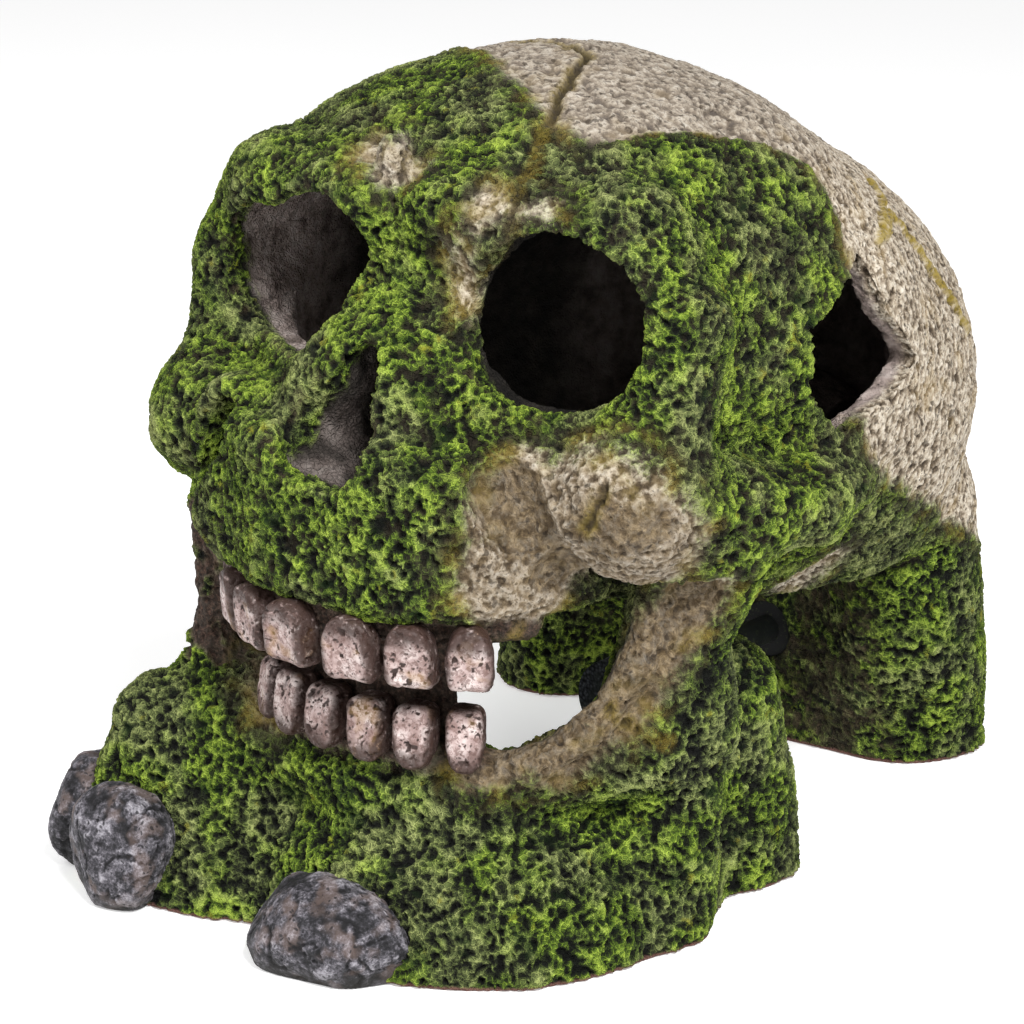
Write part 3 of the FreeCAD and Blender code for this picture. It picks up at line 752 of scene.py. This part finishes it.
class Paint:
    """A node material, with short ways to add and join its nodes."""

    def __init__(self, name):
        self.material = bpy.data.materials.new(name)
        self.material.use_nodes = True
        self.tree = self.material.node_tree
        self.shader = self.tree.nodes["Principled BSDF"]
        place = self.tree.nodes.new("ShaderNodeTexCoord")
        scale = self.add("ShaderNodeVectorMath", operation="SCALE")
        self.tree.links.new(place.outputs["Object"], scale.inputs[0])
        scale.inputs["Scale"].default_value = 1 / MM
        self.place = scale.outputs[0]

    def add(self, kind, **settings):
        node = self.tree.nodes.new(kind)
        for key, value in settings.items():
            setattr(node, key, value)
        return node

    def feed(self, socket, value):
        if isinstance(value, bpy.types.NodeSocket):
            self.tree.links.new(value, socket)
        else:
            socket.default_value = value

    def mask(self, name):
        return self.add("ShaderNodeAttribute", attribute_name=name).outputs["Fac"]

    def noise(self, size, detail=2.0, roughness=0.55, distortion=0.0):
        """Noise, 0 to 1, with features of the given size in millimetres."""
        node = self.add("ShaderNodeTexNoise")
        self.feed(node.inputs["Vector"], self.place)
        node.inputs["Scale"].default_value = 1 / size
        node.inputs["Detail"].default_value = detail
        node.inputs["Roughness"].default_value = roughness
        node.inputs["Distortion"].default_value = distortion
        return node.outputs["Fac"]

    def web(self, size, wobble, feature="DISTANCE_TO_EDGE"):
        """Cells of the given size in millimetres, with wriggling borders: 1 on the borders and 0
        away from them, or with the feature F1 the distance to each cell's middle."""
        noise = self.add("ShaderNodeTexNoise")
        self.feed(noise.inputs["Vector"], self.place)
        noise.inputs["Scale"].default_value = 0.7 / size
        push = self.add("ShaderNodeVectorMath", operation="MULTIPLY_ADD")
        self.feed(push.inputs[0], noise.outputs["Color"])
        push.inputs[1].default_value = (2 * wobble * size,) * 3
        self.feed(push.inputs[2], self.place)
        cell = self.add("ShaderNodeTexVoronoi", feature=feature)
        self.feed(cell.inputs["Vector"], push.outputs[0])
        cell.inputs["Scale"].default_value = 1 / size
        if feature == "F1":
            return cell.outputs["Distance"]
        return self.span(cell.outputs["Distance"], 0.2, 0.02)

    def height(self):
        """Millimetres above the floor."""
        split = self.add("ShaderNodeSeparateXYZ")
        self.feed(split.inputs[0], self.place)
        return split.outputs["Z"]

    def math(self, operation, a, b=0.0, clamp=False):
        node = self.add("ShaderNodeMath", operation=operation, use_clamp=clamp)
        self.feed(node.inputs[0], a)
        self.feed(node.inputs[1], b)
        return node.outputs[0]

    def times(self, a, b):
        return self.math("MULTIPLY", a, b)

    def plus(self, a, b, clamp=False):
        return self.math("ADD", a, b, clamp)

    def rest(self, value):
        """What the value leaves of 1."""
        return self.math("SUBTRACT", 1.0, value)

    def span(self, value, low, high):
        """0 at low, 1 at high, smooth between."""
        node = self.add("ShaderNodeMapRange", interpolation_type="SMOOTHSTEP")
        self.feed(node.inputs["Value"], value)
        node.inputs["From Min"].default_value = low
        node.inputs["From Max"].default_value = high
        return node.outputs["Result"]

    def patches(self, size, low, high, *kind):
        """Soft patches: noise of this size and kind, from 0 at low to 1 at high."""
        return self.span(self.noise(size, *kind), low, high)

    def spots(self, size, wobble, low, high):
        """A spot in each cell, 0 at the distance low from its middle and 1 at high."""
        return self.span(self.web(size, wobble, feature="F1"), low, high)

    def ramp(self, value, stops):
        node = self.add("ShaderNodeValToRGB")
        self.feed(node.inputs["Fac"], value)
        points = node.color_ramp.elements
        while len(points) < len(stops):
            points.new(0.5)
        for point, (position, rgb) in zip(points, stops):
            point.position = position
            point.color = colour(*rgb)
        return node.outputs["Color"]

    def mix(self, share, a, b):
        node = self.add("ShaderNodeMix", data_type="RGBA")
        self.feed(node.inputs[0], share)
        self.feed(node.inputs[6], colour(*a) if isinstance(a, tuple) else a)
        self.feed(node.inputs[7], colour(*b) if isinstance(b, tuple) else b)
        return node.outputs[2]

    def over(self, share, strength, base, tone):
        """The base with the tone laid over it."""
        return self.mix(self.times(share, strength), base, tone)

    def finish(self, base, roughness, height, bump_mm, strength=0.8, gloss=0.3):
        """The material, with a bump from a height of 0 to 1."""
        self.feed(self.shader.inputs["Base Color"], base)
        self.feed(self.shader.inputs["Roughness"], roughness)
        self.feed(self.shader.inputs["Specular IOR Level"], gloss)
        bump = self.add("ShaderNodeBump")
        bump.inputs["Strength"].default_value = strength
        bump.inputs["Distance"].default_value = bump_mm * MM
        self.feed(bump.inputs["Height"], height)
        self.feed(self.shader.inputs["Normal"], bump.outputs["Normal"])
        return self.material


def casting_paint():
    """Moss and bare bone, mixed by the masks that the mesh carries."""
    paint = Paint("casting_paint")
    share = paint.mask("relief")
    bare = paint.mask("bare")
    fine = paint.noise(0.8, 3, 0.65)
    web = paint.web(0.95, 0.5)
    base = paint.mix(bare, moss_colours(paint, share, fine, web), bone_colours(paint, share, fine))
    # dark red-brown gum colour, going to near black as painted shade in the mouth
    gum_and_shade_tone = paint.ramp(fine, [(0.32, (18, 13, 11)), (0.5, (42, 30, 26)), (0.7, (84, 63, 54))])
    base = paint.over(paint.mask("gum_and_mouth_shade"), 0.92, base, gum_and_shade_tone)
    # the thin dark film where the moss ends, and pale wear on the openings' edges
    film = paint.times(paint.mask("film"), paint.patches(2.2, 0.35, 0.6, 3))
    base = paint.over(film, 0.75, base, (50, 48, 34))
    lip = paint.times(paint.mask("lip"), paint.patches(3, 0.45, 0.62, 3))
    base = paint.over(lip, 0.3, base, (98, 84, 64))
    # the inside walls, plainer and darker the deeper they are, the darkening painted shade, and
    # earth-brown with painted shade under the moss
    cloud = paint.noise(5, 4, 0.65)
    near = paint.ramp(cloud, [(0.34, (104, 92, 86)), (0.5, (152, 138, 132)), (0.7, (184, 172, 166))])
    # near black: the painted shade deep inside the head and the nose
    far_shade = paint.ramp(cloud, [(0.36, (24, 22, 20)), (0.52, (36, 33, 29)), (0.7, (50, 46, 41))])
    wall = paint.mix(paint.mask("inner_shade"), near, far_shade)
    blot = paint.patches(1.6, 0.56, 0.66, 4, 0.7)
    blot = paint.times(blot, paint.rest(paint.mask("inner_shade")))
    wall = paint.over(blot, 0.55, wall, (40, 34, 31))
    base = paint.mix(paint.mask("inside"), base, wall)
    # earth-brown, laid under the head as earth colour and painted shade
    shaded_earth = paint.ramp(paint.noise(3.2, 4, 0.7, 1.0), [(0.34, (24, 21, 16)), (0.5, (52, 46, 34)),
                                                       (0.7, (96, 84, 64))])
    cover = paint.patches(6, 0.40, 0.52, 4, 0.65)
    base = paint.mix(paint.times(paint.mask("earth_and_shade"), cover), base, shaded_earth)
    # rust-yellow stains and dark cracks
    stain = paint.times(paint.mask("stain"), paint.span(fine, 0.25, 0.55))
    base = paint.over(stain, 0.85, base, (134, 116, 42))
    base = paint.over(paint.mask("crack"), 0.85, base, (44, 37, 26))
    # raw pinkish resin at the very bottom edge
    foot = paint.span(paint.height(), 1.1, 0.5)
    base = paint.mix(foot, base, (112, 80, 72))
    rough = paint.math("SUBTRACT", 0.86, paint.times(bare, 0.2))
    rough = paint.plus(rough, paint.times(fine, 0.1), clamp=True)
    strands = paint.times(web, paint.rest(bare))
    grain = paint.plus(paint.noise(0.5, 3, 0.6), paint.times(strands, 0.8))
    return paint.finish(base, rough, grain, bump_mm=0.5, strength=1.0, gloss=0.15)


def moss_colours(paint, share, fine, web):
    """Dark in its hollows, yellow-green on its strands, greyer in large patches."""
    tip = paint.plus(paint.times(share, 0.78), paint.times(fine, 0.22))
    tip = paint.plus(tip, paint.times(web, 0.12))
    fresh = paint.ramp(tip, [(0.28, (8, 10, 7)), (0.40, (17, 21, 13)), (0.52, (36, 45, 19)),
                             (0.66, (78, 99, 30)), (0.84, (146, 168, 62))])
    dull = paint.ramp(tip, [(0.28, (9, 10, 8)), (0.40, (20, 22, 17)), (0.52, (42, 47, 28)),
                            (0.66, (82, 91, 52)), (0.84, (142, 150, 92))])
    patch = paint.patches(15, 0.42, 0.62, 3)
    moss = paint.mix(patch, fresh, dull)
    golden = paint.patches(4.5, 0.64, 0.74, 2)
    golden = paint.times(golden, paint.span(tip, 0.5, 0.75))
    moss = paint.over(golden, 0.7, moss, (118, 112, 26))
    deep_green = paint.patches(7, 0.56, 0.68, 3)
    return paint.over(deep_green, 0.45, moss, (22, 44, 12))


def bone_colours(paint, share, fine):
    """Cream dry-brushed over tan, brown in its pits; browner where the tan mask says."""
    tone = paint.plus(paint.times(share, 0.62), paint.times(fine, 0.5))
    bone = paint.ramp(tone, [(0.30, (56, 46, 36)), (0.44, (98, 86, 71)), (0.56, (136, 123, 106)),
                             (0.68, (176, 164, 146)), (0.84, (210, 201, 186))])
    speck = paint.patches(0.6, 0.57, 0.63, 2, 0.6)
    bone = paint.over(speck, 0.65, bone, (62, 52, 42))
    pore = paint.spots(1.9, 0.9, 0.3, 0.16)
    bone = paint.over(pore, 0.75, bone, (58, 48, 38))
    warm = paint.patches(8, 0.55, 0.7, 2)
    bone = paint.over(warm, 0.3, bone, (150, 126, 78))
    # greyer towards the crown
    crown = paint.span(paint.height(), 128, 152)
    bone = paint.over(crown, 0.45, bone, (112, 105, 99))
    streak = paint.ramp(paint.noise(2.4, 4, 0.7, 1.2), [(0.32, (34, 27, 20)), (0.5, (80, 66, 47)),
                                                        (0.68, (128, 111, 84))])
    bone = paint.over(paint.mask("tan"), 0.85, bone, streak)
    spot = paint.spots(2.4, 1.0, 0.28, 0.18)
    bone = paint.over(spot, 0.7, bone, (44, 36, 28))
    # the lower jaw's inner face darkened as painted shade
    return paint.over(paint.mask("rim"), 0.85, bone, (48, 43, 38))


def tooth_paint():
    """Pinkish cream over dark red-brown, which stays in the pits and round the edges; the sides, root
    and back are darkened further as painted shade.
    """
    paint = Paint("tooth_paint")
    share = paint.mask("relief")
    cloud = paint.noise(3.2, 3)
    base = paint.ramp(cloud, [(0.34, (128, 105, 100)), (0.5, (166, 146, 142)), (0.66, (198, 184, 180))])
    wash = paint.patches(0.9, 0.48, 0.58, 4, 0.7, 0.5)
    base = paint.over(wash, 0.65, base, (92, 68, 62))
    speck = paint.spots(1.25, 0.5, 0.24, 0.12)
    base = paint.over(speck, 0.8, base, (50, 35, 31))
    base = paint.mix(paint.span(share, 0.48, 0.2), base, (52, 38, 34))
    amber = paint.patches(6, 0.56, 0.68, 2)
    base = paint.over(amber, 0.45, base, (140, 108, 58))
    # dark round the edges and on the back: wash colour and painted shade
    edge = paint.times(paint.mask("grime_and_shade"), paint.patches(1.2, 0.18, 0.46, 3))
    base = paint.over(edge, 0.93, base, (48, 31, 25))
    rough = paint.plus(0.46, paint.times(wash, 0.2))
    return paint.finish(base, rough, paint.noise(0.45, 3), bump_mm=0.22, strength=0.7)


def stone_paint():
    """Grey, nearly black in its pits and pale on its high spots."""
    paint = Paint("stone_paint")
    share = paint.mask("relief")
    fine = paint.noise(0.5, 4, 0.7)
    height = paint.plus(paint.times(share, 0.5), paint.times(fine, 0.62))
    base = paint.ramp(height, [(0.40, (14, 13, 16)), (0.52, (42, 41, 45)), (0.63, (84, 81, 87)),
                               (0.80, (152, 149, 155))])
    rosy = paint.patches(6, 0.5, 0.66, 2)
    base = paint.over(rosy, 0.3, base, (132, 112, 104))
    pore = paint.spots(1.3, 0.7, 0.3, 0.18)
    base = paint.over(pore, 0.8, base, (17, 16, 19))
    # painted shade: darker near the floor, where the stone sits on it
    contact_shade = paint.span(paint.height(), 5, 0.5)
    base = paint.over(contact_shade, 0.6, base, (36, 34, 30))
    return paint.finish(base, 0.72, fine, bump_mm=0.3)


def plastic_paint(name, tone, rough):
    paint = Paint(name)
    cloud = paint.noise(4, 3)
    darker = tuple(0.82 * c for c in tone)
    base = paint.ramp(cloud, [(0.35, darker), (0.65, tone)])
    scuff = paint.patches(0.9, 0.56, 0.66, 4, 0.7, 0.5)
    base = paint.over(scuff, 0.35, base, (96, 108, 74))
    wear = paint.plus(rough, paint.times(scuff, 0.25))
    return paint.finish(base, wear, paint.noise(0.4, 3), bump_mm=0.06, strength=0.5)


def porous_paint():
    """Bonded grey grit of an air stone."""
    paint = Paint("air_stone_paint")
    grit = paint.add("ShaderNodeTexVoronoi")
    paint.feed(grit.inputs["Vector"], paint.place)
    grit.inputs["Scale"].default_value = 1 / 0.7
    tone = paint.ramp(grit.outputs["Distance"], [(0.1, (92, 96, 102)), (0.45, (58, 62, 68)),
                                                 (0.75, (24, 26, 30))])
    tone = paint.mix(paint.patches(3, 0.4, 0.7, 3), tone, (54, 60, 56))
    height = paint.rest(grit.outputs["Distance"])
    return paint.finish(tone, 0.95, height, bump_mm=0.5, strength=1.0)


# Build ----------

GRID_LOW = np.array([-84.0, -72.0, -4.8])
GRID_HIGH = np.array([72.0, 126.0, 164.0])
VOXEL = 1.1
WALL_IN_SIGHT = 5       # faces deeper than this in the brain case stay coarse


def zones(centres):
    """Name of the CAD node that each face of the casting belongs to."""
    m = mirrored(centres)
    owner = np.argmin([part(centres, m) for part in PARTS], axis=0)
    x, y, z = centres.T
    face = (y < TEMPLE_FRONT_Y) & (z <= EYE_Z)

    def sided(bone):
        return np.where(x > 0, "left_" + bone, "right_" + bone)

    zone_tests = [
        (owner == 1, "lower_jaw"),
        (owner == 2, "front_mound"),
        (owner == 3, "rear_mound"),
        (face & (np.abs(x) < CHEEK_JOINT_X), "upper_jaw"),
        (face, sided("cheekbone")),
        ((y < CORONAL_Y) & (z > EYE_Z), "frontal_bone"),
        ((z <= SQUAMOUS_Z) & (y > LAMBDA_Y), "occipital_bone"),
        (z > SQUAMOUS_Z, sided("parietal_bone"))]
    tests, names = zip(*zone_tests)
    return np.select(tests, names, default=sided("temporal_bone")).astype(object)


def build_casting(material):
    values = sample(casting, GRID_LOW, GRID_HIGH, VOXEL)
    points, quads = surface(values, GRID_LOW, VOXEL)
    middles = points[quads].mean(1)
    depth = -head_outside(middles, mirrored(middles))
    inner = (depth > WALL_IN_SIGHT) & (middles[:, 2] > BRAIN_FLOOR_Z)
    underside = middles[:, 2] < 0.1
    hidden = inner | underside
    points, loops, starts = divide(points, quads, ~hidden)
    for _ in range(2):
        points = to_surface(values, GRID_LOW, VOXEL, points)
    normals = slope(values, GRID_LOW, VOXEL, points)
    mask, sunk = masks(points, normals)
    height, share = relief(points, mask, sunk)
    # nothing stands out on the flat underside or where the air line's fittings sit
    radius = np.linalg.norm(points[:, [0, 2]] - [0, TUBE_Z], axis=1)
    height *= np.maximum(step(radius, 8, 11), step(-points[:, 1], -80, -70))
    height *= step(points[:, 2], 0.05, 0.8)
    points = points + normals * height[:, None]
    points[:, 2] = np.maximum(points[:, 2], 0)
    mask["relief"] = share
    normals = point_normals(points, loops, starts)
    sizes = np.diff(np.append(starts, len(loops)))
    middles = np.add.reduceat(points[loops], starts) / sizes[:, None]
    names = zones(middles.astype(np.float32))
    loop_names = np.repeat(names, sizes)
    for name in sorted(set(names)):
        mine = names == name
        used, index = np.unique(loops[loop_names == name], return_inverse=True)
        first = np.append(0, np.cumsum(sizes[mine])[:-1])
        piece = to_object(name, points[used], index, first, normals[used],
                          {key: values[used] for key, values in mask.items()})
        hand_over(piece, name, material)


build_casting(casting_paint())

tooth_material = tooth_paint()
for number, node in enumerate(sorted(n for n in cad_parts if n.endswith("_tooth"))):
    side, row, kind, _ = node.split("_")
    degrees = TOOTH_TURN[f"{row}_{kind}"]
    build_tooth(node, math.radians(degrees if side == "left" else -degrees), number, tooth_material)

stone_material = stone_paint()
for node in STONES:
    build_stone(node, stone_material)

FITTINGS = {
    "air_tube": plastic_paint("tube_paint", (34, 36, 36), 0.35),
    "air_inlet_spigot": plastic_paint("spigot_paint", (58, 62, 66), 0.4),
    "air_stone_nipple": plastic_paint("nipple_paint", (62, 66, 70), 0.35),
    "tube_grommet": plastic_paint("grommet_paint", (30, 30, 31), 0.75),
    "air_stone": porous_paint()}
for node, material in FITTINGS.items():
    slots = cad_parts[node].data.materials
    for index in range(len(slots)):
        slots[index] = material

# Stage, light and camera ----------

FLOOR_SIZE = 6
FLOOR_GLOW = 0.32
WORLD_STRENGTH = 0.5
CAMERA_AZIMUTH, CAMERA_ELEVATION = 38, 17       # degrees
CAMERA_DISTANCE = 0.64
FIELD_OF_VIEW = 17.2                            # degrees
LOOK_AT_HEIGHT = 0.443                          # share of the crown's height

bpy.ops.mesh.primitive_plane_add(size=FLOOR_SIZE)
floor = bpy.context.object
floor.name = "floor"
floor_paint = Paint("floor_paint")
floor_tone = floor_paint.ramp(floor_paint.noise(900, 2),
                              [(0.4, (243, 243, 243)), (0.6, (247, 247, 247))])
floor.data.materials.append(floor_paint.finish(
    floor_tone, 0.9, floor_paint.noise(40, 2), bump_mm=0.01, strength=0.05))
floor_paint.shader.inputs["Emission Color"].default_value = (1, 1, 1, 1)
floor_paint.shader.inputs["Emission Strength"].default_value = FLOOR_GLOW

world = bpy.data.worlds.new("studio")
bpy.context.scene.world = world
world.use_nodes = True
background = world.node_tree.nodes["Background"]
background.inputs["Color"].default_value = (1, 1, 1, 1)
background.inputs["Strength"].default_value = WORLD_STRENGTH


def aim(obj, azimuth, elevation, distance, target=Vector((0, 0, 0.07))):
    """Puts a light or camera at these degrees round the target, looking at it."""
    a, e = math.radians(azimuth), math.radians(elevation)
    out = Vector((math.sin(a) * math.cos(e), -math.cos(a) * math.cos(e), math.sin(e)))
    obj.location = target + out * distance
    obj.rotation_euler = (-out).to_track_quat("-Z", "Y").to_euler()


def add_light(name, azimuth, elevation, distance, size, energy):
    """A square soft light that looks at the ornament."""
    data = bpy.data.lights.new(name, "AREA")
    data.size = size
    data.energy = energy
    light = bpy.data.objects.new(name, data)
    bpy.context.scene.collection.objects.link(light)
    aim(light, azimuth, elevation, distance)


add_light("key", 58, 44, 1.0, 0.3, 13)
add_light("fill", -20, 40, 1.1, 0.7, 6)

camera_data = bpy.data.cameras.new("camera")
camera = bpy.data.objects.new("camera", camera_data)
bpy.context.scene.collection.objects.link(camera)
bpy.context.scene.camera = camera
camera_data.angle = math.radians(FIELD_OF_VIEW)
camera_data.clip_start = 0.02
look_at = Vector(ORIGIN * MM) + Vector((0, 0, LOOK_AT_HEIGHT * crown_high[2] * MM))
aim(camera, CAMERA_AZIMUTH, CAMERA_ELEVATION, CAMERA_DISTANCE, look_at)
bpy.context.scene.view_settings.view_transform = "Standard"
